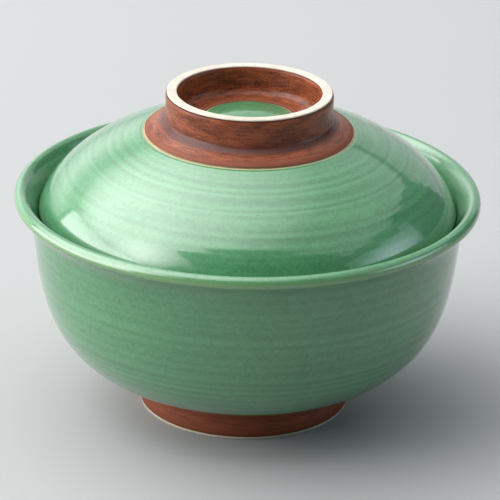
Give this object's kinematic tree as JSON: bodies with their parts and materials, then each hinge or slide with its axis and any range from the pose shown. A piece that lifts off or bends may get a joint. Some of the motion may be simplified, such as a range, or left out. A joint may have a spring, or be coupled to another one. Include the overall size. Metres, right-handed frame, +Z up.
{
  "type": "lidded rice bowl",
  "caption": "Round glazed stoneware rice bowl with a rolled everted lip and a turned foot ring, closed by a domed lid with a ring grip that sits in the flare of its mouth.",
  "frame": {"origin": "centre of the foot ring's resting face", "axes": "+Z up along the axis of the bowl and the lid"},
  "size_m": [0.155, 0.155, 0.1103],
  "materials": {
    "stoneware": "bare fired clay, matt",
    "green_glaze": "glossy celadon green glaze",
    "brown_glaze": "satin iron-brown glaze"
  },
  "bodies": {
    "bowl": {"bowl_clay_body": "stoneware", "bowl_foot_ring": "stoneware", "bowl_green_glaze": "green_glaze", "foot_outer_glaze": "brown_glaze", "foot_inner_glaze": "brown_glaze", "foot_base_glaze": "green_glaze"},
    "lid": {"lid_clay_body": "stoneware", "lid_grip_ring": "stoneware", "lid_green_glaze": "green_glaze", "grip_outer_glaze": "brown_glaze", "grip_inner_glaze": "brown_glaze", "lid_crown_glaze": "green_glaze"}
  },
  "joints": [
    {"name": "lid_lift", "type": "slide", "parent": "bowl", "child": "lid", "axis": [0, 0, 1], "range_m": [0, 0.09]}
  ]
}
